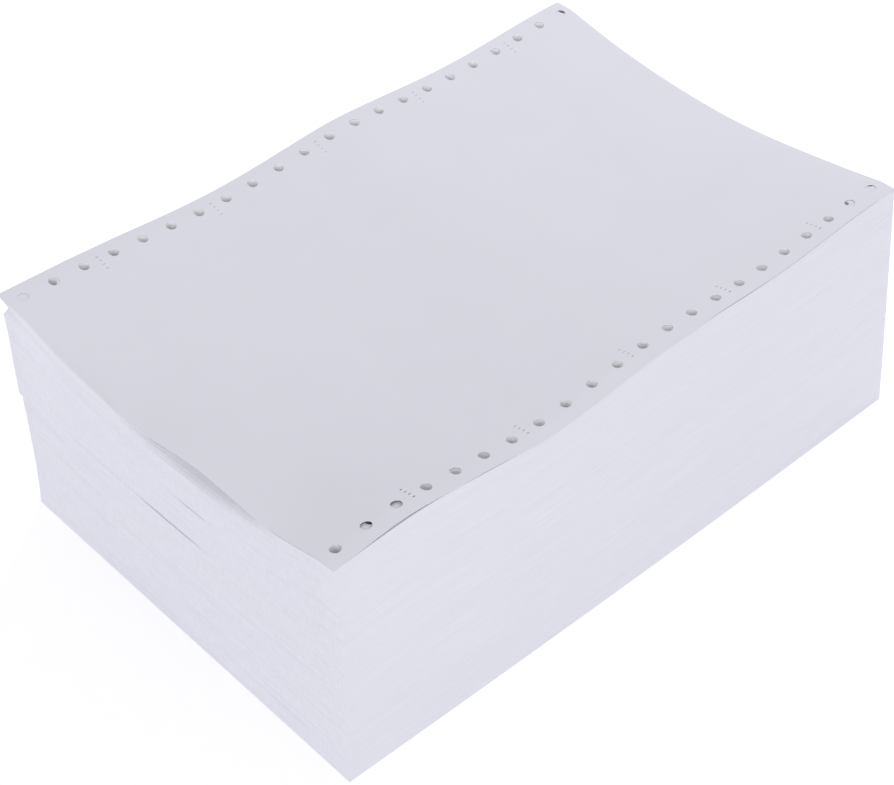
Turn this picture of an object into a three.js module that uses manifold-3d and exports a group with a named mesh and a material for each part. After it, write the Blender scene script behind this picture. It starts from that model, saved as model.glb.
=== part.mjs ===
// Continuous form paper: one web of multi-part forms, folded back and forth into a stack.
// Millimetres, +Z up. The stack stands on its lowest leaf, with the origin under its middle.
// +X runs from the loose end of the top form to its first fold, +Y from the near cut edge to the far one.

import * as THREE from 'three';
import { mergeGeometries, mergeVertices, toCreasedNormals } from 'three/addons/utils/BufferGeometryUtils.js';
import Module from 'manifold-3d';

// The form: fold to fold, and cut edge to cut edge
const FORM_DEPTH = 279.4;
const FORM_WIDTH = 171.45;

// Tractor holes, half an inch apart along both cut edges, through every leaf
const HOLE_PITCH = 12.7;
const HOLE_DIAMETER = 4;
const HOLE_MARGIN = 6.35;
const HOLE_SIDES = 10;

// The stack: its height at the two tractor strips, and the leaves that show in it
const STACK_HEIGHT = 95.6;
const FOLD_PAIRS = 18;

// How the pile lies: the crimped strips stand higher than the middle, the far one highest.
// The shape fades downwards, the faster the greater the settling.
const TROUGH_DEPTH = 9.9;
const STRIP_TILT = 1.8;
const END_RISE = 2;
const SETTLING = 2.2;

// Two shallow dips run across the pile, one nearer the loose end and one nearer the fold
const LOOSE_DIP_DEPTH = 3.3;
const LOOSE_DIP_AT = 94;
const LOOSE_DIP_REACH = 69;
const FOLD_DIP_DEPTH = 2.2;
const FOLD_DIP_AT = 209;
const FOLD_DIP_REACH = 66;

// The pile has sunk under the middle of the loose end, and its edge is rolled down towards the far corner.
// A share is a place across the form, 0 at the near cut edge and 1 at the far one, and a spread its reach.
const HOLLOW_DEPTH = 4.4;
const HOLLOW_REACH = 90;
const HOLLOW_SHARE = 0.33;
const HOLLOW_SPREAD = 0.38;
const ROLLED_EDGE_DROP = 2.2;
const ROLLED_EDGE_REACH = 12;
const ROLLED_EDGE_SHARE = 0.86;
const ROLLED_EDGE_SPREAD = 0.2;

// How far the top has slid over the base, and turned on it
const LEAN = 10.3;
const TWIST_DEG = 1.2;

// Edges: the notch between two folds, and the step from leaf to leaf
const FOLD_NOTCH = 1.1;
const EDGE_STEP = 0.3;

// The fold face below the loose end: its waist, and the flare of its near top corner. A slit stays open
// where an upper lift of leaves stands on the lower ones, at a joint counted from the ground.
const WAIST = 1.6;
const WAIST_LEVEL = 0.3;
const WAIST_REACH = 0.34;
const CORNER_FLARE = 3;
const FLARE_LEVEL = 0.72;
const SLIT_JOINT = 19;
const SLIT_DEPTH = 1.6;
const SLIT_SHARE = 0.5;
const SLIT_SPREAD = 0.2;

// The top form is loose at its end: it lifts there over the pile and curls up at the far corner.
// At its other end it turns down into its first fold.
const TOP_THICKNESS = 0.8;
const LIFT_REACH = 38;
const LIFT_GAP = 3.3;
const LIFT_SHARE = 0.36;
const LIFT_SPREAD = 0.33;
const CURL_GAP = 1.5;
const CURL_SPREAD = 0.12;
const EDGE_LIFT = 2.2;
const EDGE_LIFT_AT = 26.6;
const EDGE_LIFT_REACH = 24.7;
const EDGE_LIFT_SPREAD = 0.3;
const SHUT_GAP = 0.35;
const EDGE_GAP_DEPTH = 2;
const FOLD_ROLL = 0.6;
const FOLD_ROLL_REACH = 3;
const RIM = 0.8;

// Crimps that lock the plies of a form: rows of small slits in both strips, every few holes
const CRIMP_LENGTH = 1.1;
const CRIMP_WIDTH = 0.45;
const CRIMP_DEPTH = 0.6;
const CRIMP_PITCH = 2;
const CRIMP_MARGIN = 5.2;
const CRIMPS_IN_ROW = 4;
const HOLES_BEFORE_CRIMP = 3;
const HOLES_BETWEEN_CRIMPS = 4;

// Facets along the two sides of a form
const CELLS_ALONG = 14;
const CELLS_ACROSS = 8;

// Facets that meet at less than this angle are shaded as one surface
const CREASE_DEG = 20;

const LEAVES = 2 * FOLD_PAIRS;

// A smooth bump: 1 at the centre, 0 at the reach and beyond
function bump(value, centre, reach) {
  const away = Math.abs(value - centre) / reach;
  return away < 1 ? 0.5 + 0.5 * Math.cos(Math.PI * away) : 0;
}

// Height of a level in the pile over a point of the form. Level 0 is the ground and level 1 the top.
function levelHeight(x, y, level) {
  const share = y / FORM_WIDTH;
  const across = 2 * share - 1;
  const sag = TROUGH_DEPTH * (1 - across * across);
  const dips = LOOSE_DIP_DEPTH * bump(x, LOOSE_DIP_AT, LOOSE_DIP_REACH)
    + FOLD_DIP_DEPTH * bump(x, FOLD_DIP_AT, FOLD_DIP_REACH);
  const hollow = HOLLOW_DEPTH * bump(share, HOLLOW_SHARE, HOLLOW_SPREAD) * bump(x, 0, HOLLOW_REACH);
  const rolled = ROLLED_EDGE_DROP * bump(share, ROLLED_EDGE_SHARE, ROLLED_EDGE_SPREAD)
    * bump(x, 0, ROLLED_EDGE_REACH);
  const tilt = STRIP_TILT * across / 2 + END_RISE * (x / FORM_DEPTH - 0.5);
  return STACK_HEIGHT * level + (tilt - sag - dips - hollow - rolled) * level ** SETTLING;
}

// The open gap under the loose end of the top form
function liftGap(x, y) {
  const share = y / FORM_WIDTH;
  const end = LIFT_GAP * bump(share, LIFT_SHARE, LIFT_SPREAD) + CURL_GAP * bump(share, 1, CURL_SPREAD);
  const edge = EDGE_LIFT * bump(x, EDGE_LIFT_AT, EDGE_LIFT_REACH) * bump(share, 0, EDGE_LIFT_SPREAD);
  return SHUT_GAP + Math.max(end * Math.max(0, 1 - x / LIFT_REACH), edge);
}

// Steps in and out from leaf to leaf, the same in each build
function edgeStep(leaf, side) {
  return EDGE_STEP * (0.5 + 0.5 * Math.sin(leaf * 12.9898 + side * 4.1));
}

// How far the fold face below the loose end is set in
function faceInset(share, level) {
  const waist = WAIST * bump(level, WAIST_LEVEL, WAIST_REACH);
  const slid = Math.max(0, (level - FLARE_LEVEL) / (1 - FLARE_LEVEL));
  return waist - CORNER_FLARE * (1 - share) * slid * slid;
}

// Leans and turns a point of the squared-up pile about the middle of its height
function settle(x, y, z) {
  const share = z / STACK_HEIGHT - 0.5;
  const turn = THREE.MathUtils.degToRad(TWIST_DEG) * share;
  const fromX = x - FORM_DEPTH / 2;
  const fromY = y - FORM_WIDTH / 2;
  return new THREE.Vector3(
    fromX * Math.cos(turn) - fromY * Math.sin(turn),
    fromX * Math.sin(turn) + fromY * Math.cos(turn) + LEAN * share,
    z,
  );
}

// One closed ring of the skin, set in from the form's four sides, on the left by a share of the width.
// A step moves the two cut edges in as well, but leaves the corners where the folds join.
function ring(insets, heightAt, step = { near: 0, far: 0 }) {
  return { insets, heightAt, step };
}

// A point of a ring's surface at shares u and v of the form's depth and width
function ringPoint({ insets, heightAt, step }, u, v) {
  const between = u > 0 && u < 1 ? 1 : 0;
  const near = insets.near + step.near * between;
  const far = insets.far + step.far * between;
  const left = insets.left(v);
  const x = left + u * (FORM_DEPTH - left - insets.right);
  const y = near + v * (FORM_WIDTH - near - far);
  return settle(x, y, heightAt(x, y));
}

// The fold joins leaves 2n and 2n+1 at the right end, and 2n+1 and 2n+2 at the left end.
// Each leaf has its mouth open at the other side of the joint, so its corner stands back there.
function leafRings(leaf) {
  const even = leaf % 2 === 0;
  const step = { near: edgeStep(leaf, 0), far: edgeStep(leaf, 1) };
  const rings = [];
  for (const top of [false, true]) {
    const joint = leaf + (top ? 1 : 0);
    const level = joint / LEAVES;
    const joinedRight = even === top;
    const mouth = joinedRight ? FOLD_NOTCH : 0;
    const slit = joint === SLIT_JOINT ? SLIT_DEPTH : 0;
    const insets = {
      left: (v) => faceInset(v, level) + mouth + slit * bump(v, SLIT_SHARE, SLIT_SPREAD),
      right: joinedRight ? 0 : FOLD_NOTCH,
      near: 0,
      far: 0,
    };
    rings.push(ring(insets, (x, y) => levelHeight(x, y, level), step));
  }
  return rings;
}

// The pile without its top form, from the ground up
function pileRings() {
  const rings = [];
  for (let leaf = 0; leaf < LEAVES - 1; leaf += 1) {
    rings.push(...leafRings(leaf));
  }
  return rings;
}

// The top form: the bottom of the gap under it, its underside and its face
function topFormRings() {
  const level = (LEAVES - 1) / LEAVES;
  const onPile = (x, y) => levelHeight(x, y, level);
  const root = { left: () => LIFT_REACH, right: 0, near: EDGE_GAP_DEPTH, far: EDGE_GAP_DEPTH };
  const edge = { left: (v) => faceInset(v, 1), right: 0, near: 0, far: 0 };
  const face = { left: (v) => faceInset(v, 1) + RIM, right: FOLD_ROLL_REACH, near: RIM, far: RIM };
  const fold = (x) => FOLD_ROLL * bump(x, FORM_DEPTH, FOLD_ROLL_REACH);
  return [
    ring(root, (x, y) => onPile(x, y) + SHUT_GAP / 2),
    ring(edge, (x, y) => onPile(x, y) + liftGap(x, y)),
    ring(edge, (x, y) => topHeight(x, y) - fold(x)),
    ring(face, topHeight),
  ];
}

// Height of the top form's face
function topHeight(x, y) {
  return levelHeight(x, y, (LEAVES - 1) / LEAVES) + liftGap(x, y) + TOP_THICKNESS;
}

// Shares of depth and width round the edge of a form, counter-clockwise from the near left corner
function outlineShares() {
  const shares = [];
  for (let i = 0; i < CELLS_ALONG; i += 1) shares.push([i / CELLS_ALONG, 0]);
  for (let j = 0; j < CELLS_ACROSS; j += 1) shares.push([1, j / CELLS_ACROSS]);
  for (let i = CELLS_ALONG; i > 0; i -= 1) shares.push([i / CELLS_ALONG, 1]);
  for (let j = CELLS_ACROSS; j > 0; j -= 1) shares.push([0, j / CELLS_ACROSS]);
  return shares;
}

// Adds the two triangles of a four-cornered facet
function addQuad(triangles, a, b, c, d) {
  triangles.push(a, b, c, a, c, d);
}

// Face of a ring, seen from above or from below
function addFace(triangles, surface, facingUp) {
  for (let i = 0; i < CELLS_ALONG; i += 1) {
    for (let j = 0; j < CELLS_ACROSS; j += 1) {
      const corners = [[i, j], [i + 1, j], [i + 1, j + 1], [i, j + 1]]
        .map(([a, b]) => ringPoint(surface, a / CELLS_ALONG, b / CELLS_ACROSS));
      addQuad(triangles, ...(facingUp ? corners : corners.reverse()));
    }
  }
}

// A closed skin over a stack of rings
function stackGeometry(rings) {
  const triangles = [];
  const shares = outlineShares();
  const outlines = rings.map((surface) => shares.map(([u, v]) => ringPoint(surface, u, v)));
  addFace(triangles, rings[0], false);
  for (let level = 1; level < outlines.length; level += 1) {
    const lower = outlines[level - 1];
    const upper = outlines[level];
    shares.forEach((_, i) => {
      const next = (i + 1) % shares.length;
      addQuad(triangles, lower[i], lower[next], upper[next], upper[i]);
    });
  }
  addFace(triangles, rings[rings.length - 1], true);
  return new THREE.BufferGeometry().setFromPoints(triangles);
}

// One tractor hole's bore, leaning with the pile
function holeBore(x, y) {
  const bore = new THREE.CylinderGeometry(
    HOLE_DIAMETER / 2, HOLE_DIAMETER / 2, 1, HOLE_SIDES, 1,
  );
  bore.rotateX(Math.PI / 2);
  const points = bore.attributes.position;
  for (let i = 0; i < points.count; i += 1) {
    const z = points.getZ(i) < 0 ? -STACK_HEIGHT / 10 : STACK_HEIGHT * 1.2;
    const place = settle(x + points.getX(i), y + points.getY(i), z);
    points.setXYZ(i, place.x, place.y, place.z);
  }
  return bore;
}

function tractorBores() {
  const count = Math.floor(FORM_DEPTH / HOLE_PITCH);
  const first = (FORM_DEPTH - (count - 1) * HOLE_PITCH) / 2;
  const bores = [];
  for (let i = 0; i < count; i += 1) {
    for (const y of [HOLE_MARGIN, FORM_WIDTH - HOLE_MARGIN]) {
      bores.push(holeBore(first + i * HOLE_PITCH, y));
    }
  }
  return mergeGeometries(bores);
}

// The crimps' slits, sunk into the face of the top form
function crimpSlits() {
  const slits = [];
  const between = HOLES_BETWEEN_CRIMPS * HOLE_PITCH;
  for (let x = HOLES_BEFORE_CRIMP * HOLE_PITCH; x < FORM_DEPTH - HOLE_PITCH; x += between) {
    for (let i = 0; i < CRIMPS_IN_ROW; i += 1) {
      const inwards = CRIMP_MARGIN + i * CRIMP_PITCH;
      for (const y of [inwards, FORM_WIDTH - inwards]) {
        const face = topHeight(x, y);
        const slit = new THREE.BoxGeometry(CRIMP_LENGTH, CRIMP_WIDTH, 2 * CRIMP_DEPTH);
        slit.translate(...settle(x, y, face).toArray());
        slits.push(slit);
      }
    }
  }
  return mergeGeometries(slits);
}

const wasm = await Module();
wasm.setup();

// A solid from a closed geometry, with its shared corners merged and flat slivers dropped
function toSolid(geometry) {
  const bare = new THREE.BufferGeometry();
  bare.setAttribute('position', geometry.attributes.position.clone());
  if (geometry.index) bare.setIndex(geometry.index.clone());
  const merged = mergeVertices(bare, 1e-4);
  const corners = [];
  for (let i = 0; i < merged.index.count; i += 3) {
    const [a, b, c] = [0, 1, 2].map((k) => merged.index.getX(i + k));
    if (a !== b && b !== c && c !== a) corners.push(a, b, c);
  }
  const mesh = new wasm.Mesh({
    numProp: 3,
    vertProperties: new Float32Array(merged.attributes.position.array),
    triVerts: new Uint32Array(corners),
  });
  return new wasm.Manifold(mesh);
}

function toGeometry(solid) {
  const { vertProperties, triVerts } = solid.getMesh();
  const geometry = new THREE.BufferGeometry();
  geometry.setAttribute('position', new THREE.BufferAttribute(vertProperties, 3));
  geometry.setIndex(new THREE.BufferAttribute(triVerts, 1));
  return toCreasedNormals(geometry, THREE.MathUtils.degToRad(CREASE_DEG));
}

const pile = toSolid(stackGeometry([...pileRings(), ...topFormRings()]));
const punched = pile.subtract(toSolid(tractorBores())).subtract(toSolid(crimpSlits()));

const paper = new THREE.MeshStandardMaterial({ color: '#dedee8', roughness: 0.85, metalness: 0 });
const stack = new THREE.Mesh(toGeometry(punched), paper);
stack.name = 'fanfold_stack';

// The leaning pile's own box is centred over the origin
const middle = new THREE.Box3().setFromObject(stack).getCenter(new THREE.Vector3());
stack.position.set(-middle.x, -middle.y, 0);

const part = new THREE.Group();
part.add(stack);

export default part;
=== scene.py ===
"""Continuous form paper: the finish of a fan-folded stack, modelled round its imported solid."""
import math

import bpy
import numpy as np
from bpy.props import FloatProperty, FloatVectorProperty, IntProperty, PointerProperty
from mathutils import Matrix, Vector


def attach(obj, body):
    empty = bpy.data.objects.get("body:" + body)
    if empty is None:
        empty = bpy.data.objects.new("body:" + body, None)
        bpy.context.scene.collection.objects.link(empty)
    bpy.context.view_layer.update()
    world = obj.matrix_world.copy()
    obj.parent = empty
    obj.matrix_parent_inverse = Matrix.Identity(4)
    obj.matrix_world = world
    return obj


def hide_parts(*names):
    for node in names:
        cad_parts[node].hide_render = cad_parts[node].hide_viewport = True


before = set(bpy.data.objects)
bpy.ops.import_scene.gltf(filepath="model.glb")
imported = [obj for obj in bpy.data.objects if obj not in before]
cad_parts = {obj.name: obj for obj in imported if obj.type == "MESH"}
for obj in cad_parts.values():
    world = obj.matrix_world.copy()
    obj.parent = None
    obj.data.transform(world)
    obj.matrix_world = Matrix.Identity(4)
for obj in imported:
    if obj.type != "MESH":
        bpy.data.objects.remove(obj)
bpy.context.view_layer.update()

bl_info = {
    "name": "Continuous Form Paper",
    "version": (1, 0, 0),
    "blender": (4, 5, 0),
    "location": "View3D > Sidebar > Form Paper",
    "description": "Models a stack of fan-folded tractor paper, its loose top form and a plain studio",
    "category": "Add Mesh",
}

NODE = "fanfold_stack"
MM = 0.001
TINY = 1e-5

# Swells and dips of the top: the middle of each and how far it reaches. ALONG is measured from the loose
# end, and ACROSS is a share of the width from the near cut edge.
LOOSE_DIP_ALONG = (94 * MM, 69 * MM)
FOLD_DIP_ALONG = (209 * MM, 66 * MM)
SWELL_ALONG, SWELL_ACROSS = (0, 90 * MM), (0.4, 0.27)
NEAR_LIFT_ALONG, NEAR_LIFT_ACROSS = (32 * MM, 64 * MM), (0, 0.3)
SHOULDER_REACH, SHOULDER_ACROSS = 90 * MM, (0.2, 0.3)
CORNER_REACH, CORNER_ACROSS = 38 * MM, (1, 0.16)

# Slopes of the top: where each starts and ends
FAR_LIFT_ACROSS = (0.8, 0.95)
FAR_LIFT_FADE, FAR_LIFT_LOSS = (170 * MM, 230 * MM), 0.7
SOFT_RUN_START, SOFT_RUN_END = (75 * MM, 95 * MM), (160 * MM, 180 * MM)

FLAT_STRIP = 0.93           # the strips lie flat outside this share of the half width
FOLD_RUN = 3.2 * MM         # how far in from the fold the top turns down
NEAR_FOLD_ROLL = 0.25       # share of the fold's roll that the near corner keeps
NEAR_ROLL_REACH = 4.2 * MM
ROLL_FADE = 12              # the rolls belong to the uppermost leaves alone

# The loose end: where it is rolled down, and how far round the sheet turns, in eighths of a turn
ROUND_START, ROUND_END = (0.6, 0.7), (0.91, 0.97)
ROUND_TURN = 1.7
NOT_ON_FACE = -1.0          # depth below the top of points that lie on the top itself
FLARE_FROM = 0.72           # level from which the near corner has slid out

# Gaps under the top form: at the loose end, and along the near edge a bulge, a ripple beyond it, and a
# long low gap towards the fold
LIFT_ACROSS, LIFT_FADE = (0.38, 0.25), 1.3
LIFT_MOST = 1.1             # the sheet's end stands a little past the face below it
THIN_FADE, THIN_START = (0.25, 0.45), (0, 0.03)
BULGE_ALONG, BULGE_ACROSS = (27 * MM, 25 * MM), (0, 0.3)
RIPPLE_ALONG, RIPPLE_ACROSS, RIPPLE = (66 * MM, 18 * MM), (0, 0.12), 0.25 * MM
EDGE_GAP_START, EDGE_GAP_END = (158 * MM, 185 * MM), (262 * MM, 276 * MM)
EDGE_GAP_CREST, EDGE_GAP_ACROSS = (190 * MM, 22 * MM), (0, 0.06)

# Faces of the pile. The corner's notch is deepest, and ends, so far below the top, and closes over its
# last part. The ledge starts and ends at levels of the pile.
SHELF_ACROSS = (0.41, 0.27)
PAINTED_SHADE_GAIN = 3             # painted shade on the shelf under the lifted end is full from a third of the shelf's depth on
NOTCH_DEEPEST, NOTCH_FOOT, NOTCH_CLOSE = 5.5 * MM, 8.4 * MM, 2.9 * MM
NOTCH_ACROSS, NOTCH_RUN = (0.93, 1), (0, 10 * MM)
LEDGE_START, LEDGE_END, LEDGE_ACROSS = (0.533, 0.54), (0.6, 0.95), (0.4, 1)

# Small steps from leaf to leaf: their size, the runs along a face, and how they are smoothed
END_STEP, END_RUNS = 0.06 * MM, 12
SIDE_STEP, SIDE_RUNS = 0.05 * MM, 22
STEP_PASSES, STEP_SPREAD = 3, 1.9

# Slits and grooves that stay open between leaves of the fold face: level, place and spread across it,
# depth in mm, and how many leaves share in the opening
FACE_GAPS = (
    (0.588, 0.51, 0.11, 6.0, 0.4),
    (0.588, 0.72, 0.3, 0.4, 1),
    (0.7685, 0.44, 0.08, 2.5, 0.4),
    (0.655, 0.2, 0.34, 0.5, 7),
    (0.89, 0.3, 0.3, 0.35, 4),
)

# Tractor holes whose leaves have slipped under the top form: number from the loose end, far strip or
# not, and the slip along and across in mm. All the others wander a little.
HOLE_SLIPS = {
    (1, False): (3.1, 1.2), (2, False): (-3.3, 0.8), (20, False): (-1.6, 1.6), (21, False): (2.4, 2.3),
    (0, True): (4.4, 0.6), (1, True): (-0.9, 0.4), (21, True): (2.2, 1.0),
}
HOLE_WANDER = 0.25          # in mm
BORE_SIDES, HOLE_SIDES, PIN_LENGTH = 16, 20, 20 * MM

# Extra cuts that let the sheet bend at its ends and along its near edge
END_CUTS = (0.6 * MM, 1.2 * MM, 1.9 * MM, 2.6 * MM)
NEAR_CUTS = (0.7 * MM, 1.5 * MM, 2.3 * MM, 3.75 * MM)

# Crimps: the first row stands this many hole pitches from the loose end, then every so many, and each
# row has this many slits
CRIMP_FIRST, CRIMP_EVERY, CRIMP_ROWS, CRIMP_SLITS, CRIMP_REACH = 3, 4, 5, 4, 10 * MM

# Materials, in the order of their slots, and where faces turn from flat to upright
FORM_FACE, CUT_EDGES, FOLDED_EDGES, BORE_WALLS = range(4)
UPRIGHT = 0.5

# Shading: the useful range of a noise, and the factors that it is mapped to
NOISE_RANGE, TICK_RANGE = (0.3, 0.7), (0.35, 0.65)
CLOUD_TONES, TOOTH_TONES = (0.992, 1.005), (0.995, 1.003)
CUT_TONES, LIFT_TONES = (0.965, 1.01), (0.985, 1.005)
FOLD_TONES, BORE_TONES = (0.975, 1.008), (0.94, 1.0)
SMOOTH_ANGLE = math.radians(32)

# The stage: the floor, then the place, size and aim of each lamp in metres, and the camera, with its
# place, lens and film in mm and its angles in degrees
FLOOR_SIZE, FLOOR_COLOUR, FLOOR_GLOW = 6, (0.86, 0.86, 0.87, 1), 0.3
WHITE = (1, 1, 1, 1)
KEY_SOFTBOX = ((-2.6, -2.6, 1.2), 3.2, (0, 0, 0.05))
BACK_SOFTBOX = ((0.75, 0.45, 0.6), 0.5, (0.14, 0, 0.095))
CAMERA_PLACE = (-421.3, -398.44, 553.78)
CAMERA_TURN, CAMERA_PITCH, CAMERA_ROLL = 44.15, -42.36, 2.64
CAMERA_LENS, CAMERA_FILM = 84.36, 36
CAMERA_NEAR = 10 * MM


class FormSizes(bpy.types.PropertyGroup):
    """Sizes of one form"""
    depth: FloatProperty(name="Depth", description="Fold to fold", default=279.4 * MM, unit="LENGTH")
    width: FloatProperty(name="Width", description="Cut edge to cut edge", default=171.45 * MM, unit="LENGTH")
    pitch: FloatProperty(name="Hole pitch", description="Tractor hole to tractor hole",
                         default=12.7 * MM, unit="LENGTH")
    hole: FloatProperty(name="Hole diameter", description="Width of a tractor hole",
                        default=4 * MM, unit="LENGTH")
    margin: FloatProperty(name="Hole margin", description="Hole centre to the cut edge",
                          default=6.35 * MM, unit="LENGTH")
    thickness: FloatProperty(name="Form thickness", description="All plies of one form",
                             default=0.22 * MM, unit="LENGTH")
    slit_length: FloatProperty(name="Crimp slit length", description="Along the form", default=1.1 * MM,
                               unit="LENGTH")
    slit_width: FloatProperty(name="Crimp slit width", description="Across the form", default=0.45 * MM,
                              unit="LENGTH")
    slit_pitch: FloatProperty(name="Crimp slit pitch", description="Slit to slit across the form",
                              default=2 * MM, unit="LENGTH")
    slit_start: FloatProperty(name="First crimp slit", description="From the cut edge", default=5.2 * MM,
                              unit="LENGTH")


class PileSizes(bpy.types.PropertyGroup):
    """How the folded pile stands and lies"""
    height: FloatProperty(name="Height", description="At the tractor strips",
                          default=94.6 * MM, unit="LENGTH")
    leaves: IntProperty(name="Leaves", description="Leaf edges that show in the pile", default=216)
    trough: FloatProperty(name="Trough depth", description="How far the middle lies below the strips",
                          default=9.9 * MM, unit="LENGTH")
    tilt: FloatProperty(name="Strip tilt", description="Far strip above the near one", default=1.3 * MM,
                        unit="LENGTH")
    end_rise: FloatProperty(name="End rise", description="Fold end above the loose end", default=2 * MM,
                            unit="LENGTH")
    shoulder: FloatProperty(name="Fold end shoulder", description="Rise of the fold end near the camera",
                            default=1 * MM, unit="LENGTH")
    near_lift: FloatProperty(name="Near strip lift", description="Rise of the near strip by the loose end",
                             default=2.3 * MM, unit="LENGTH")
    far_lift: FloatProperty(name="Far strip lift", description="Rise of the far strip up to its middle",
                            default=1.2 * MM, unit="LENGTH")
    corner_lift: FloatProperty(name="Corner lift", description="Rise of the far corner of the loose end",
                               default=1.1 * MM, unit="LENGTH")
    corner_notch: FloatProperty(name="Corner notch", description="How far leaves stand back below it",
                                default=1.7 * MM, unit="LENGTH")
    near_bulge: FloatProperty(name="Near bulge", description="How far the foot of the near side bows out",
                              default=0.94 * MM, unit="LENGTH")
    loose_dip: FloatProperty(name="Loose end dip", description="Depth of the dip nearer the loose end",
                             default=3.3 * MM, unit="LENGTH")
    fold_dip: FloatProperty(name="Fold end dip", description="Depth of the dip nearer the fold",
                            default=2.2 * MM, unit="LENGTH")
    swell: FloatProperty(name="Swell", description="How far the pile stands up under the lifted loose end",
                         default=0.6 * MM, unit="LENGTH")
    settling: FloatProperty(name="Settling", description="How fast the shape fades downwards", default=1.3)
    round_end: FloatProperty(name="Rounded end", description="Radius of the far part of the loose end",
                             default=3.6 * MM, unit="LENGTH")
    near_roll: FloatProperty(name="Near edge roll", description="Drop of the near cut edge where soft",
                             default=1.2 * MM, unit="LENGTH")
    fold_roll: FloatProperty(name="Fold roll", description="Drop where the top turns down into its fold",
                             default=1.2 * MM, unit="LENGTH")
    lean: FloatProperty(name="Lean", description="Top over base, across the form", default=10.3 * MM,
                        unit="LENGTH")
    twist: FloatProperty(name="Twist", description="Top turned on the base", default=math.radians(1.2),
                         unit="ROTATION")
    near_draw: FloatProperty(name="Near draw", description="How far the sag draws the near strip in",
                             default=1.5 * MM, unit="LENGTH")
    far_draw: FloatProperty(name="Far draw", description="How far the sag draws the far strip in",
                            default=0.7 * MM, unit="LENGTH")
    offset: FloatVectorProperty(name="Offset", description="Puts the middle of the box over the origin",
                                default=(0.62 * MM, 0.03 * MM), size=2, unit="LENGTH")
    shelf: FloatProperty(name="Shelf", description="How far the uppermost leaves stand back under the lift",
                         default=6 * MM, unit="LENGTH")
    shelf_height: FloatProperty(name="Shelf height", description="Height of the leaves that stand back",
                                default=5.2 * MM, unit="LENGTH")
    notch: FloatProperty(name="Fold notch", description="Between two folds", default=0.26 * MM, unit="LENGTH")
    waist: FloatProperty(name="Waist", description="How far the fold face draws in", default=1.4 * MM,
                         unit="LENGTH")
    waist_near: FloatProperty(name="Near waist", description="Share of the waist left at the near corner",
                              default=0.2)
    flare: FloatProperty(name="Corner flare", description="How far the near top corner has slid out",
                         default=0.6 * MM, unit="LENGTH")
    ledge: FloatProperty(name="Ledge", description="How far the upper lift stands proud at the far corner",
                         default=0.9 * MM, unit="LENGTH")
    seed: IntProperty(name="Seed", description="Of the small steps from leaf to leaf", default=7)


class TopSizes(bpy.types.PropertyGroup):
    """How the loose top form lies on the pile"""
    reach: FloatProperty(name="Lift reach", description="How far in the loose end is lifted", default=24 * MM,
                         unit="LENGTH")
    gap: FloatProperty(name="Lift gap", description="Under the middle of the loose end", default=4.4 * MM,
                       unit="LENGTH")
    thin_gap: FloatProperty(name="Thin gap", description="From the lift on to the near corner",
                            default=0.15 * MM, unit="LENGTH")
    edge_gap: FloatProperty(name="Edge gap", description="Under the near cut edge towards the fold",
                            default=0.16 * MM, unit="LENGTH")
    bulge: FloatProperty(name="Edge bulge", description="Under the near cut edge by the loose end",
                         default=0.8 * MM, unit="LENGTH")
    shut: FloatProperty(name="Shut gap", description="Where the form rests on the pile", default=0.08 * MM,
                        unit="LENGTH")


class Looks(bpy.types.PropertyGroup):
    """Colours of the paper and light of the stage"""
    paper: FloatVectorProperty(name="Paper", description="Face of a form", subtype="COLOR",
                               default=(0.695, 0.695, 0.768), min=0, max=1)
    edge: FloatVectorProperty(name="Leaf edges", description="Cut and folded edges", subtype="COLOR",
                              default=(0.785, 0.785, 0.866), min=0, max=1)
    bore: FloatVectorProperty(name="Bore walls", description="Inside the tractor holes", subtype="COLOR",
                              default=(0.93, 0.93, 0.96), min=0, max=1)
    # Painted shade: the colour factor left on the shelf under the lifted loose end, standing in for the
    # shadow there
    painted_shade: FloatProperty(name="Fanned shade", description="Light left between leaves that fan open",
                          default=0.875, min=0, max=1)
    sky: FloatProperty(name="Room light", description="Even light from all round", default=0.7)
    key: FloatProperty(name="Key light", description="Strength of the large softbox",
                       default=64, unit="POWER")
    back: FloatProperty(name="Back light", description="Strength of the small softbox behind the fold end",
                        default=3.7, unit="POWER")


class FormPaperSettings(bpy.types.PropertyGroup):
    """All that a user would change"""
    form: PointerProperty(type=FormSizes)
    pile: PointerProperty(type=PileSizes)
    top: PointerProperty(type=TopSizes)
    looks: PointerProperty(type=Looks)


def settings():
    return bpy.context.scene.form_paper


def deselect_all():
    if bpy.context.object and bpy.context.object.mode != "OBJECT":
        bpy.ops.object.mode_set(mode="OBJECT")
    bpy.ops.object.select_all(action="DESELECT")


def only(piece):
    deselect_all()
    piece.select_set(True)
    bpy.context.view_layer.objects.active = piece


def apply_modifier(piece, kind, **values):
    only(piece)
    modifier = piece.modifiers.new(kind.title(), kind)
    for name, value in values.items():
        setattr(modifier, name, value)
    bpy.ops.object.modifier_apply(modifier=modifier.name)


# Shape of the pile

def bump(value, centre, reach):
    """A smooth hump: 1 at the centre, 0 at the reach and beyond."""
    away = np.clip(np.abs(value - centre) / reach, 0, 1)
    return 0.5 + 0.5 * np.cos(np.pi * away)


def ramp(value, start, end):
    """A smooth step from 0 at the start to 1 at the end."""
    share = np.clip((value - start) / (end - start), 0, 1)
    return share * share * (3 - 2 * share)


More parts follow.
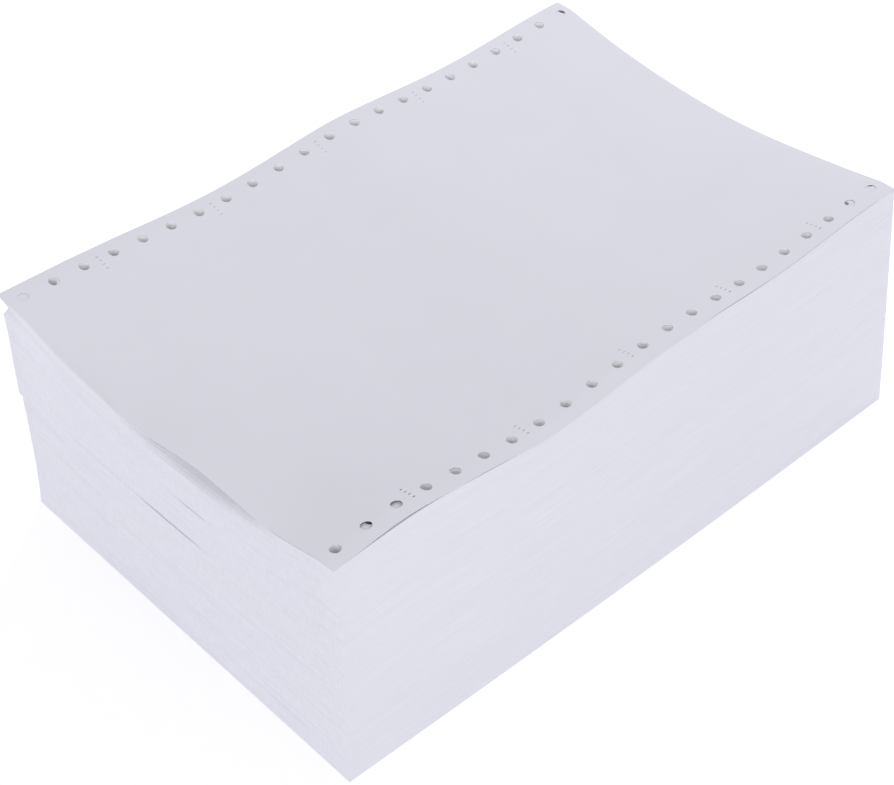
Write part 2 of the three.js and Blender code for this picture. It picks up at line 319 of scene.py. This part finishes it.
def level_height(x, y, level):
    """Height of a level in the pile over a point of the form. Level 0 is the ground and 1 the top."""
    form, pile = settings().form, settings().pile
    share = y / form.width
    across = 2 * share - 1
    shape = pile.tilt * across / 2 + pile.end_rise * (x / form.depth - 0.5)
    shape = shape - pile.trough * (1 - np.clip(across, -FLAT_STRIP, FLAT_STRIP) ** 2)
    shape = shape - pile.loose_dip * bump(x, *LOOSE_DIP_ALONG) - pile.fold_dip * bump(x, *FOLD_DIP_ALONG)
    shape = shape + pile.swell * bump(share, *SWELL_ACROSS) * bump(x, *SWELL_ALONG)
    shape = shape + pile.near_lift * bump(share, *NEAR_LIFT_ACROSS) * bump(x, *NEAR_LIFT_ALONG)
    far_run = 1 - FAR_LIFT_LOSS * ramp(x, *FAR_LIFT_FADE)
    shape = shape + pile.far_lift * ramp(share, *FAR_LIFT_ACROSS) * far_run
    shape = shape + pile.corner_lift * bump(share, *CORNER_ACROSS) * np.clip(1 - x / CORNER_REACH, 0, 1)
    shape = shape + pile.shoulder * bump(share, *SHOULDER_ACROSS) * bump(x, form.depth, SHOULDER_REACH)
    turned = np.clip((x - form.depth) / FOLD_RUN + 1, 0, 1)
    roll = pile.fold_roll * (NEAR_FOLD_ROLL + (1 - NEAR_FOLD_ROLL) * share) * turned ** 2
    soft_run = ramp(x, *SOFT_RUN_START) * (1 - ramp(x, *SOFT_RUN_END))
    roll = roll + pile.near_roll * soft_run * np.clip(1 - y / NEAR_ROLL_REACH, 0, 1) ** 2
    return pile.height * level + shape * level ** pile.settling - roll * level ** ROLL_FADE


def end_rounding(y):
    """How fully the loose end is rolled down: only towards the far corner, and not at the corner itself."""
    share = y / settings().form.width
    return ramp(share, *ROUND_START) * (1 - ramp(share, *ROUND_END))


def roll_down(x, z, y, into_face, radius):
    """Bends a flat end, or the face at this depth below it, round an edge of this radius."""
    angle = np.pi / 4 * np.where(into_face < 0, np.clip(1 - x / radius, 0, ROUND_TURN),
                                 1 + np.clip(into_face / radius, 0, 1))
    weight = end_rounding(y) * np.where(into_face < 0, 1, into_face < radius) * (x < radius)
    drop = radius * (1 - np.cos(angle)) - np.maximum(into_face, 0)
    draw = radius * (1 - np.sin(angle)) - x
    return x + weight * draw, z - weight * drop


def face_inset(share, level):
    """How far the fold face below the loose end is set in."""
    pile = settings().pile
    waist = pile.waist * (pile.waist_near + (1 - pile.waist_near) * share) * (1 - (2 * level - 1) ** 4)
    slid = np.clip((level - FLARE_FROM) / (1 - FLARE_FROM), 0, 1)
    return waist - pile.flare * (1 - share) * slid ** 2


def lift_gap(x, y):
    """The open gap under the loose end of the top form."""
    form, top = settings().form, settings().top
    share = y / form.width
    end = top.gap * bump(share, *LIFT_ACROSS)
    end = end + top.thin_gap * (1 - ramp(share, *THIN_FADE)) * ramp(share, *THIN_START)
    edge = top.bulge * bump(x, *BULGE_ALONG) * bump(share, *BULGE_ACROSS)
    edge = edge + RIPPLE * bump(x, *RIPPLE_ALONG) * bump(share, *RIPPLE_ACROSS)
    fold_run = ramp(x, *EDGE_GAP_START) * (1 - ramp(x, *EDGE_GAP_END))
    edge = edge + top.edge_gap * (fold_run + bump(x, *EDGE_GAP_CREST)) * bump(share, *EDGE_GAP_ACROSS)
    return top.shut + np.maximum(end * np.clip(1 - x / top.reach, 0, LIFT_MOST) ** LIFT_FADE, edge)


def settle(x, y, z):
    """Leans and turns points of the squared-up pile about the middle of its height."""
    form, pile = settings().form, settings().pile
    level = np.clip(z / pile.height, 0, 1)
    across = y / form.width
    y = y + (pile.near_draw * (1 - across) - pile.far_draw * across) * level ** pile.settling
    share = z / pile.height - 0.5
    turn = pile.twist * share
    from_x = x - form.depth / 2
    from_y = y - form.width / 2
    return np.stack([
        from_x * np.cos(turn) - from_y * np.sin(turn) + pile.offset[0],
        from_x * np.sin(turn) + from_y * np.cos(turn) + pile.lean * share + pile.offset[1],
        z,
    ], axis=1)


def read_points(piece):
    points = np.empty(len(piece.data.vertices) * 3)
    piece.data.vertices.foreach_get("co", points)
    return points.reshape(-1, 3)


def write_points(piece, points):
    piece.data.vertices.foreach_set("co", points.ravel())
    piece.data.update()


# Blanks and tools

def cell_counts():
    """Square cells a quarter of the hole pitch wide, so that each hole's centre is a corner of four."""
    form = settings().form
    cell = form.pitch / 4
    return round(form.depth / cell), round(form.width / cell)


def add_grid(name):
    """A flat form, from 0 to its depth and from 0 to its width."""
    form = settings().form
    deselect_all()
    along, across = cell_counts()
    bpy.ops.mesh.primitive_grid_add(x_subdivisions=along, y_subdivisions=across, size=1)
    grid = bpy.context.object
    grid.name = grid.data.name = name
    bpy.ops.object.mode_set(mode="EDIT")
    bpy.ops.mesh.select_all(action="SELECT")
    bpy.ops.transform.resize(value=(form.depth, form.width, 1))
    bpy.ops.transform.translate(value=(form.depth / 2, form.width / 2, 0))
    bpy.ops.object.mode_set(mode="OBJECT")
    return grid


def add_slab(name, thickness):
    slab = add_grid(name)
    bpy.ops.object.mode_set(mode="EDIT")
    bpy.ops.mesh.select_all(action="SELECT")
    bpy.ops.mesh.extrude_region_move(TRANSFORM_OT_translate={"value": (0, 0, thickness)})
    bpy.ops.mesh.select_all(action="SELECT")
    bpy.ops.mesh.normals_make_consistent(inside=False)
    bpy.ops.object.mode_set(mode="OBJECT")
    return slab


def hole_places():
    """Centres of the tractor holes in both strips, with the hole's number from the loose end."""
    form = settings().form
    count = round(form.depth / form.pitch)
    first = (form.depth - (count - 1) * form.pitch) / 2
    return [(number, far, first + number * form.pitch, form.width - form.margin if far else form.margin)
            for far in (False, True) for number in range(count)]


def add_punch(places, sides):
    """One pin, copied to each of the places."""
    form = settings().form
    deselect_all()
    bpy.ops.mesh.primitive_cylinder_add(vertices=sides, radius=form.hole / 2, depth=PIN_LENGTH)
    pin = bpy.context.object
    pins = [pin]
    for x, y in places[1:]:
        copy = pin.copy()
        copy.data = pin.data.copy()
        copy.location = (x, y, 0)
        bpy.context.collection.objects.link(copy)
        pins.append(copy)
    pin.location = (*places[0], 0)
    for copy in pins:
        copy.select_set(True)
    bpy.context.view_layer.objects.active = pin
    bpy.ops.object.join()
    bpy.ops.object.transform_apply(location=True, rotation=True, scale=True)
    return pin


def punch(piece, tool):
    apply_modifier(piece, "BOOLEAN", operation="DIFFERENCE", object=tool, solver="EXACT")
    only(tool)
    bpy.ops.object.delete()
    only(piece)


def pick_faces(piece, wanted):
    """Selects the faces for which wanted(face) is true."""
    for face in piece.data.polygons:
        face.select = wanted(face)
    for edge in piece.data.edges:
        edge.select = False
    for vertex in piece.data.vertices:
        vertex.select = False


def is_outer_side(face):
    form = settings().form
    x, y, _ = face.center
    outside = min(x, y, form.depth - x, form.width - y) < TINY
    return abs(face.normal.z) < UPRIGHT and outside


# The pile

def add_leaf_band():
    """The edge of one leaf all round the form, repeated up the pile."""
    pile = settings().pile
    band = add_grid("leaf_band")
    bpy.ops.object.mode_set(mode="EDIT")
    bpy.ops.mesh.select_all(action="DESELECT")
    bpy.ops.mesh.select_mode(type="VERT")
    bpy.ops.mesh.select_non_manifold(extend=False, use_wire=False, use_boundary=True,
                                     use_multi_face=False, use_non_contiguous=False, use_verts=False)
    bpy.ops.mesh.select_all(action="INVERT")
    bpy.ops.mesh.delete(type="VERT")
    bpy.ops.mesh.select_all(action="SELECT")
    leaf = pile.height / pile.leaves
    bpy.ops.mesh.extrude_region_move(TRANSFORM_OT_translate={"value": (0, 0, leaf)})
    bpy.ops.object.mode_set(mode="OBJECT")
    apply_modifier(band, "ARRAY", count=pile.leaves, use_relative_offset=False, use_constant_offset=True,
                   constant_offset_displace=(0, 0, leaf), use_merge_vertices=True, merge_threshold=TINY)
    return band


def pile_holes():
    """The pile's own holes: those just under the top form have slipped a little from the form's."""
    places = []
    for number, far, x, y in hole_places():
        wander = (HOLE_WANDER * math.sin(3.1 * number), HOLE_WANDER * math.cos(2.3 * number))
        slip_x, slip_y = HOLE_SLIPS.get((number, far), wander)
        places.append((x + slip_x * MM, y + slip_y * MM))
    return places


def leaf_steps(rings, along, columns, rng):
    """How far each leaf edge stands back, in slow runs along the leaf."""
    rows = settings().pile.leaves + 1
    noise = rng.normal(0, 1, (rows, columns + 1))
    for _ in range(STEP_PASSES):
        noise = (np.roll(noise, 1, axis=1) + noise + np.roll(noise, -1, axis=1)) / STEP_SPREAD
    place = np.clip(along * columns, 0, columns)
    low = np.minimum(place.astype(int), columns - 1)
    part = place - low
    return np.abs(noise[rings, low] * (1 - part) + noise[rings, low + 1] * part)


def add_pile():
    form, pile = settings().form, settings().pile
    slab = add_slab("form_pile", form.thickness)
    punch(slab, add_punch(pile_holes(), BORE_SIDES))
    pick_faces(slab, is_outer_side)
    bpy.ops.object.mode_set(mode="EDIT")
    bpy.ops.mesh.select_mode(type="FACE")
    bpy.ops.mesh.delete(type="ONLY_FACE")
    bpy.ops.object.mode_set(mode="OBJECT")
    points = read_points(slab)
    points[:, 2] = np.where(points[:, 2] > form.thickness / 2, pile.height, 0)
    write_points(slab, points)
    band = add_leaf_band()
    only(slab)
    band.select_set(True)
    bpy.ops.object.join()
    bpy.ops.object.mode_set(mode="EDIT")
    bpy.ops.mesh.select_all(action="SELECT")
    bpy.ops.mesh.remove_doubles(threshold=TINY)
    bpy.ops.mesh.normals_make_consistent(inside=False)
    bpy.ops.object.mode_set(mode="OBJECT")
    unwrap(slab)
    shape_pile(slab)
    return slab


def material_slot(face, flat, end):
    if flat:
        return FORM_FACE
    if not is_outer_side(face):
        return BORE_WALLS
    return FOLDED_EDGES if end else CUT_EDGES


def unwrap(piece):
    """Faces keep the form's own plan, and edges run round the form and up the pile."""
    form = settings().form
    mesh = piece.data
    layer = mesh.uv_layers.new(name="form_plan")
    places = read_points(piece)
    for face in mesh.polygons:
        flat = abs(face.normal.z) > UPRIGHT
        end = abs(face.normal.x) > abs(face.normal.y)
        face.material_index = material_slot(face, flat, end)
        for loop in face.loop_indices:
            x, y, z = places[mesh.loops[loop].vertex_index]
            if flat:
                layer.data[loop].uv = (x, y)
            elif end:
                layer.data[loop].uv = (form.depth + y, z)
            else:
                layer.data[loop].uv = (x, z)


def corner_notch(share, x, below):
    """How far leaves stand back under the far corner of the loose end."""
    depth = np.clip(np.minimum(below / NOTCH_DEEPEST, (NOTCH_FOOT - below) / NOTCH_CLOSE), 0, 1)
    return settings().pile.corner_notch * depth * ramp(share, *NOTCH_ACROSS) * (1 - ramp(x, *NOTCH_RUN))


def proud_ledge(share, level):
    """How far the upper lift stands out over the lower one, towards the far corner."""
    upper = ramp(level, *LEDGE_START) * (1 - ramp(level, *LEDGE_END))
    return settings().pile.ledge * upper * ramp(share, *LEDGE_ACROSS)


def face_gaps(share, level):
    """Depth of the slits and grooves of the fold face."""
    leaves = settings().pile.leaves
    depths = (depth * MM * bump(share, middle, spread) * bump(level, at, (shared + 0.5) / leaves)
              for at, middle, spread, depth, shared in FACE_GAPS)
    return sum(depths)


def mark_painted_shade(piece, painted_shade):
    """Marks the shelf under the lifted loose end, for the painted shade there."""
    layer = piece.data.attributes.new("painted_shade", "FLOAT", "POINT")
    layer.data.foreach_set("value", painted_shade)


def shape_pile(piece):
    form, pile = settings().form, settings().pile
    x, y, z = read_points(piece).T
    level = z / pile.height
    ring = np.rint(level * pile.leaves).astype(int)
    inner = (ring > 0) & (ring < pile.leaves)
    left, right = x < TINY, x > form.depth - TINY
    near, far = y < TINY, y > form.width - TINY
    share = y / form.width
    rng = np.random.default_rng(pile.seed)
    end_step = leaf_steps(ring, share, END_RUNS, rng) * inner * END_STEP
    side_step = leaf_steps(ring, x / form.depth, SIDE_RUNS, rng) * inner * SIDE_STEP
    fold = np.where(ring % 2 == 0, 0, pile.notch)
    below = pile.height * (1 - level)
    notch = corner_notch(share, x, below) * inner
    shelf = np.clip(1 - below / pile.shelf_height, 0, 1) * bump(share, *SHELF_ACROSS)
    # Painted shade: marks the shelf under the lifted loose end for a darker colour
    mark_painted_shade(piece, np.clip(PAINTED_SHADE_GAIN * shelf * left, 0, 1))
    cut_back = (pile.shelf * shelf + face_gaps(share, ring / pile.leaves)) * left
    draw_in = face_inset(share, level) - proud_ledge(share, level) + cut_back
    x = x + draw_in * (1 - x / form.depth)
    x = np.where(left, x + fold * inner + end_step, x)
    x = np.where(right, x - (pile.notch - fold) * inner - end_step, x)
    x = x + notch
    y = y - notch - pile.near_bulge * near * np.sin(np.pi * x / form.depth) * (1 - level)
    corner = left | right
    y = np.where(near & ~corner, y + side_step, y)
    y = np.where(far & ~corner, y - side_step, y)
    on_face = np.where(inner & left, below, NOT_ON_FACE)
    z = level_height(x, y, level)
    bends = (ring == pile.leaves) | (inner & left)
    rolled_x, rolled_z = roll_down(x, z, y, on_face, pile.round_end)
    x = np.where(bends, rolled_x, x)
    z = np.where(bends, rolled_z, z)
    write_points(piece, settle(x, y, z))


# The loose top form

def crimp_slits():
    """Rows of small slits that lock the plies together, between every fourth pair of holes."""
    form = settings().form
    deselect_all()
    bpy.ops.mesh.primitive_cube_add(size=1)
    slit = bpy.context.object
    bpy.ops.object.mode_set(mode="EDIT")
    bpy.ops.transform.resize(value=(form.slit_length, form.slit_width, CRIMP_REACH))
    bpy.ops.transform.translate(value=(CRIMP_FIRST * form.pitch, form.slit_start, 0))
    bpy.ops.object.mode_set(mode="OBJECT")
    apply_modifier(slit, "ARRAY", count=CRIMP_SLITS, use_relative_offset=False, use_constant_offset=True,
                   constant_offset_displace=(0, form.slit_pitch, 0))
    apply_modifier(slit, "ARRAY", count=CRIMP_ROWS, use_relative_offset=False, use_constant_offset=True,
                   constant_offset_displace=(CRIMP_EVERY * form.pitch, 0, 0))
    far = slit.copy()
    far.data = slit.data.copy()
    bpy.context.collection.objects.link(far)
    points = read_points(far)
    points[:, 1] = form.width - points[:, 1]
    write_points(far, points)
    far.data.flip_normals()
    only(slit)
    far.select_set(True)
    bpy.ops.object.join()
    return slit


def cut_across(place, normal):
    bpy.ops.mesh.select_all(action="SELECT")
    bpy.ops.mesh.bisect(plane_co=place, plane_no=normal)


def add_top_form():
    form, pile, top = settings().form, settings().pile, settings().top
    sheet = add_slab("top_form", form.thickness)
    bpy.ops.object.mode_set(mode="EDIT")
    for cut in END_CUTS:
        cut_across((cut, 0, 0), (1, 0, 0))
        cut_across((form.depth - cut, 0, 0), (1, 0, 0))
    for cut in NEAR_CUTS:
        cut_across((0, cut, 0), (0, 1, 0))
    bpy.ops.object.mode_set(mode="OBJECT")
    places = [(x, y) for _, _, x, y in hole_places()]
    punch(sheet, add_punch(places, HOLE_SIDES))
    punch(sheet, crimp_slits())
    unwrap(sheet)
    x, y, z = read_points(sheet).T
    above = np.where(z > form.thickness / 2, form.thickness, 0)
    level = np.ones_like(x)
    x = x + face_inset(y / form.width, level) * (1 - x / form.depth)
    z = level_height(x, y, level) + lift_gap(x, y) + above
    x, z = roll_down(x, z, y, np.full_like(x, NOT_ON_FACE), pile.round_end + above + top.shut)
    write_points(sheet, settle(x, y, z))
    return sheet


# Materials

def new_group(name, inputs, outputs):
    group = bpy.data.node_groups.new(name, "ShaderNodeTree")
    for label, kind, value in inputs:
        socket = group.interface.new_socket(name=label, in_out="INPUT", socket_type=kind)
        if value is not None:
            socket.default_value = value
    for label, kind in outputs:
        group.interface.new_socket(name=label, in_out="OUTPUT", socket_type=kind)
    return group, group.nodes.new("NodeGroupInput"), group.nodes.new("NodeGroupOutput")


def fibre_group():
    """Cloudy formation and fine tooth of uncoated paper."""
    group, entry, result = new_group("Paper fibre", [
        ("Vector", "NodeSocketVector", None),
        ("Cloud size", "NodeSocketFloat", 60.0),
        ("Tooth size", "NodeSocketFloat", 2600.0),
    ], [("Cloud", "NodeSocketFloat"), ("Tooth", "NodeSocketFloat")])
    link = group.links.new
    for label, detail in (("Cloud", 3.0), ("Tooth", 2.0)):
        noise = group.nodes.new("ShaderNodeTexNoise")
        noise.inputs["Detail"].default_value = detail
        link(entry.outputs["Vector"], noise.inputs["Vector"])
        link(entry.outputs[label + " size"], noise.inputs["Scale"])
        link(noise.outputs["Fac"], result.inputs[label])
    return group


def streak_group():
    """Streaks along the leaves, read from the edge's own plan: along the form, and up the pile."""
    group, entry, result = new_group("Leaf streaks", [
        ("Vector", "NodeSocketVector", None),
        ("Run", "NodeSocketFloat", 30.0),
        ("Pitch", "NodeSocketFloat", 2600.0),
    ], [("Streak", "NodeSocketFloat")])
    link = group.links.new
    scale = group.nodes.new("ShaderNodeCombineXYZ")
    link(entry.outputs["Run"], scale.inputs["X"])
    link(entry.outputs["Pitch"], scale.inputs["Y"])
    stretch = group.nodes.new("ShaderNodeVectorMath")
    stretch.operation = "MULTIPLY"
    link(entry.outputs["Vector"], stretch.inputs[0])
    link(scale.outputs["Vector"], stretch.inputs[1])
    noise = group.nodes.new("ShaderNodeTexNoise")
    noise.inputs["Scale"].default_value = 1.0
    noise.inputs["Detail"].default_value = 3.0
    link(stretch.outputs["Vector"], noise.inputs["Vector"])
    link(noise.outputs["Fac"], result.inputs["Streak"])
    return group


def shade(tree, value, tones, seen=NOISE_RANGE):
    """Maps the part of a pattern that is seen to factors of the colour."""
    spread = tree.nodes.new("ShaderNodeMapRange")
    spread.inputs["From Min"].default_value, spread.inputs["From Max"].default_value = seen
    spread.inputs["To Min"].default_value, spread.inputs["To Max"].default_value = tones
    tree.links.new(value, spread.inputs["Value"])
    return spread.outputs["Result"]


def multiply(tree, first, second):
    node = tree.nodes.new("ShaderNodeMath")
    node.operation = "MULTIPLY"
    tree.links.new(first, node.inputs[0])
    tree.links.new(second, node.inputs[1])
    return node.outputs["Value"]


def tint(tree, colour, factor):
    node = tree.nodes.new("ShaderNodeVectorMath")
    node.operation = "SCALE"
    node.inputs[0].default_value = tuple(colour)
    tree.links.new(factor, node.inputs["Scale"])
    return node.outputs["Vector"]


def new_material(name, roughness):
    material = bpy.data.materials.new(name)
    material.use_nodes = True
    tree = material.node_tree
    surface = tree.nodes["Principled BSDF"]
    surface.inputs["Roughness"].default_value = roughness
    surface.inputs["Specular IOR Level"].default_value = 0.25
    plan = tree.nodes.new("ShaderNodeUVMap")
    plan.uv_map = "form_plan"
    return material, tree, surface, plan.outputs["UV"]


def add_bump(tree, surface, height, strength, distance):
    relief = tree.nodes.new("ShaderNodeBump")
    relief.inputs["Strength"].default_value = strength
    relief.inputs["Distance"].default_value = distance
    tree.links.new(height, relief.inputs["Height"])
    tree.links.new(relief.outputs["Normal"], surface.inputs["Normal"])


def use_group(tree, group, plan, **values):
    node = tree.nodes.new("ShaderNodeGroup")
    node.node_tree = group
    tree.links.new(plan, node.inputs["Vector"])
    for name, value in values.items():
        node.inputs[name.replace("_", " ")].default_value = value
    return node


def paper_material(fibre):
    material, tree, surface, plan = new_material("Form paper", 0.88)
    grain = use_group(tree, fibre, plan, Cloud_size=45.0, Tooth_size=2600.0)
    cloud = shade(tree, grain.outputs["Cloud"], CLOUD_TONES)
    tooth = shade(tree, grain.outputs["Tooth"], TOOTH_TONES)
    tree.links.new(tint(tree, settings().looks.paper, multiply(tree, cloud, tooth)),
                   surface.inputs["Base Color"])
    add_bump(tree, surface, grain.outputs["Tooth"], 0.12, 0.03 * MM)
    return material


def cut_edge_material(streaks):
    material, tree, surface, plan = new_material("Cut leaf edges", 0.92)
    fine = use_group(tree, streaks, plan, Run=28.0, Pitch=2400.0)
    broad = use_group(tree, streaks, plan, Run=9.0, Pitch=260.0)
    fine_shade = shade(tree, fine.outputs["Streak"], CUT_TONES)
    broad_shade = shade(tree, broad.outputs["Streak"], LIFT_TONES)
    tree.links.new(tint(tree, settings().looks.edge, multiply(tree, fine_shade, broad_shade)),
                   surface.inputs["Base Color"])
    add_bump(tree, surface, fine.outputs["Streak"], 0.35, 0.15 * MM)
    return material


def shelf_painted_shade(tree):
    """Painted shade: the shelf under the lifted end is darkened, standing in for the shadow there."""
    painted_shade = tree.nodes.new("ShaderNodeAttribute")
    painted_shade.attribute_name = "painted_shade"
    return shade(tree, painted_shade.outputs["Fac"], (1, settings().looks.painted_shade), (0, 1))


def fold_edge_material(streaks):
    material, tree, surface, plan = new_material("Folded leaf edges", 0.92)
    fine = use_group(tree, streaks, plan, Run=40.0, Pitch=2000.0)
    ticks = use_group(tree, streaks, plan, Run=900.0, Pitch=160.0)
    fine_shade = shade(tree, fine.outputs["Streak"], FOLD_TONES)
    tick_shade = shade(tree, ticks.outputs["Streak"], FOLD_TONES, TICK_RANGE)
    # The shelf's painted shade darkens the folded edges under the lifted end
    leaf_shade = multiply(tree, multiply(tree, fine_shade, tick_shade), shelf_painted_shade(tree))
    tree.links.new(tint(tree, settings().looks.edge, leaf_shade), surface.inputs["Base Color"])
    add_bump(tree, surface, multiply(tree, fine.outputs["Streak"], ticks.outputs["Streak"]), 0.4, 0.2 * MM)
    return material


def bore_material(streaks):
    """Walls of the tractor holes and crimp slits: light soaks through the paper, so they are paler."""
    material, tree, surface, plan = new_material("Bore walls", 0.95)
    leaves = use_group(tree, streaks, plan, Run=60.0, Pitch=1500.0)
    leaf_shade = shade(tree, leaves.outputs["Streak"], BORE_TONES)
    tree.links.new(tint(tree, settings().looks.bore, leaf_shade), surface.inputs["Base Color"])
    return material


def paper_materials():
    """Face, cut edges, folded edges and bores, made once and shared by both pieces."""
    names = ("Form paper", "Cut leaf edges", "Folded leaf edges", "Bore walls")
    if names[0] not in bpy.data.materials:
        streaks = streak_group()
        paper_material(fibre_group())
        cut_edge_material(streaks)
        fold_edge_material(streaks)
        bore_material(streaks)
    return [bpy.data.materials[name] for name in names]


def dress(piece):
    for material in paper_materials():
        piece.data.materials.append(material)
    only(piece)
    bpy.ops.object.shade_smooth_by_angle(angle=SMOOTH_ANGLE)


class FORMPAPER_OT_pile(bpy.types.Operator):
    """Model the folded pile with its leaf edges and tractor bores"""
    bl_idname = "form_paper.pile"
    bl_label = "Add Folded Pile"

    def execute(self, context):
        pile = add_pile()
        dress(pile)
        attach(pile, "root")
        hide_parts(NODE)
        return {"FINISHED"}


class FORMPAPER_OT_top_form(bpy.types.Operator):
    """Model the loose top form with its holes and crimp slits"""
    bl_idname = "form_paper.top_form"
    bl_label = "Add Top Form"

    def execute(self, context):
        sheet = add_top_form()
        dress(sheet)
        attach(sheet, "root")
        return {"FINISHED"}


class FORMPAPER_OT_stage(bpy.types.Operator):
    """Set a pale floor, soft light and the camera"""
    bl_idname = "form_paper.stage"
    bl_label = "Set Stage"

    def execute(self, context):
        add_floor()
        add_lights()
        add_camera()
        return {"FINISHED"}


def add_floor():
    deselect_all()
    bpy.ops.mesh.primitive_plane_add(size=FLOOR_SIZE, location=(0, 0, 0))
    floor = bpy.context.object
    floor.name = floor.data.name = "studio_floor"
    material = bpy.data.materials.new("Studio floor")
    material.use_nodes = True
    tree = material.node_tree
    surface = tree.nodes["Principled BSDF"]
    surface.inputs["Base Color"].default_value = FLOOR_COLOUR
    surface.inputs["Roughness"].default_value = 0.9
    rays = tree.nodes.new("ShaderNodeLightPath")
    glow = tree.nodes.new("ShaderNodeMath")
    glow.operation = "MULTIPLY"
    glow.inputs[1].default_value = FLOOR_GLOW
    tree.links.new(rays.outputs["Is Camera Ray"], glow.inputs[0])
    surface.inputs["Emission Color"].default_value = WHITE
    tree.links.new(glow.outputs["Value"], surface.inputs["Emission Strength"])
    floor.data.materials.append(material)


def add_lights():
    looks = settings().looks
    scene = bpy.context.scene
    scene.world = bpy.data.worlds.new("Studio")
    scene.world.use_nodes = True
    tree = scene.world.node_tree
    backdrop = tree.nodes["Background"]
    backdrop.inputs["Color"].default_value = WHITE
    rays = tree.nodes.new("ShaderNodeLightPath")
    level = tree.nodes.new("ShaderNodeMapRange")
    level.inputs["To Min"].default_value = looks.sky
    level.inputs["To Max"].default_value = 1.0
    tree.links.new(rays.outputs["Is Camera Ray"], level.inputs["Value"])
    tree.links.new(level.outputs["Result"], backdrop.inputs["Strength"])
    deselect_all()
    add_softbox("key_softbox", looks.key, *KEY_SOFTBOX)
    add_softbox("back_softbox", looks.back, *BACK_SOFTBOX)


def add_softbox(name, power, place, size, target):
    bpy.ops.object.light_add(type="AREA", location=place)
    lamp = bpy.context.object
    lamp.name = name
    lamp.data.size = size
    lamp.data.energy = power
    aim(lamp, Vector(target))


def aim(thing, target):
    thing.rotation_euler = (target - thing.location).to_track_quat("-Z", "Y").to_euler()


def add_camera():
    bpy.ops.object.camera_add(location=[value * MM for value in CAMERA_PLACE])
    camera = bpy.context.object
    camera.data.sensor_width = CAMERA_FILM
    camera.data.lens = CAMERA_LENS
    camera.data.clip_start = CAMERA_NEAR
    level = Matrix.Rotation(math.radians(CAMERA_TURN - 90), 4, "Z")
    tipped = Matrix.Rotation(math.radians(90 + CAMERA_PITCH), 4, "X")
    rolled = Matrix.Rotation(math.radians(CAMERA_ROLL), 4, "Z")
    camera.rotation_euler = (level @ tipped @ rolled).to_euler()
    bpy.context.scene.camera = camera


class FORMPAPER_PT_panel(bpy.types.Panel):
    """Sizes, colours and steps of the stack"""
    bl_label = "Continuous Form Paper"
    bl_idname = "FORMPAPER_PT_panel"
    bl_space_type = "VIEW_3D"
    bl_region_type = "UI"
    bl_category = "Form Paper"

    def draw(self, context):
        values = context.scene.form_paper
        for label in ("form", "pile", "top", "looks"):
            box = self.layout.box()
            box.label(text=label.title())
            group = getattr(values, label)
            for name in group.__annotations__:
                box.prop(group, name)
        for step in STEPS:
            self.layout.operator(step.bl_idname)


STEPS = (FORMPAPER_OT_pile, FORMPAPER_OT_top_form, FORMPAPER_OT_stage)
CLASSES = (FormSizes, PileSizes, TopSizes, Looks, FormPaperSettings, *STEPS, FORMPAPER_PT_panel)


def register():
    for cls in CLASSES:
        bpy.utils.register_class(cls)
    bpy.types.Scene.form_paper = PointerProperty(type=FormPaperSettings)


def unregister():
    del bpy.types.Scene.form_paper
    for cls in reversed(CLASSES):
        bpy.utils.unregister_class(cls)


def main():
    register()
    bpy.context.scene.view_settings.view_transform = "Standard"
    bpy.ops.form_paper.pile()
    bpy.ops.form_paper.top_form()
    bpy.ops.form_paper.stage()


if __name__ == "__main__":
    main()
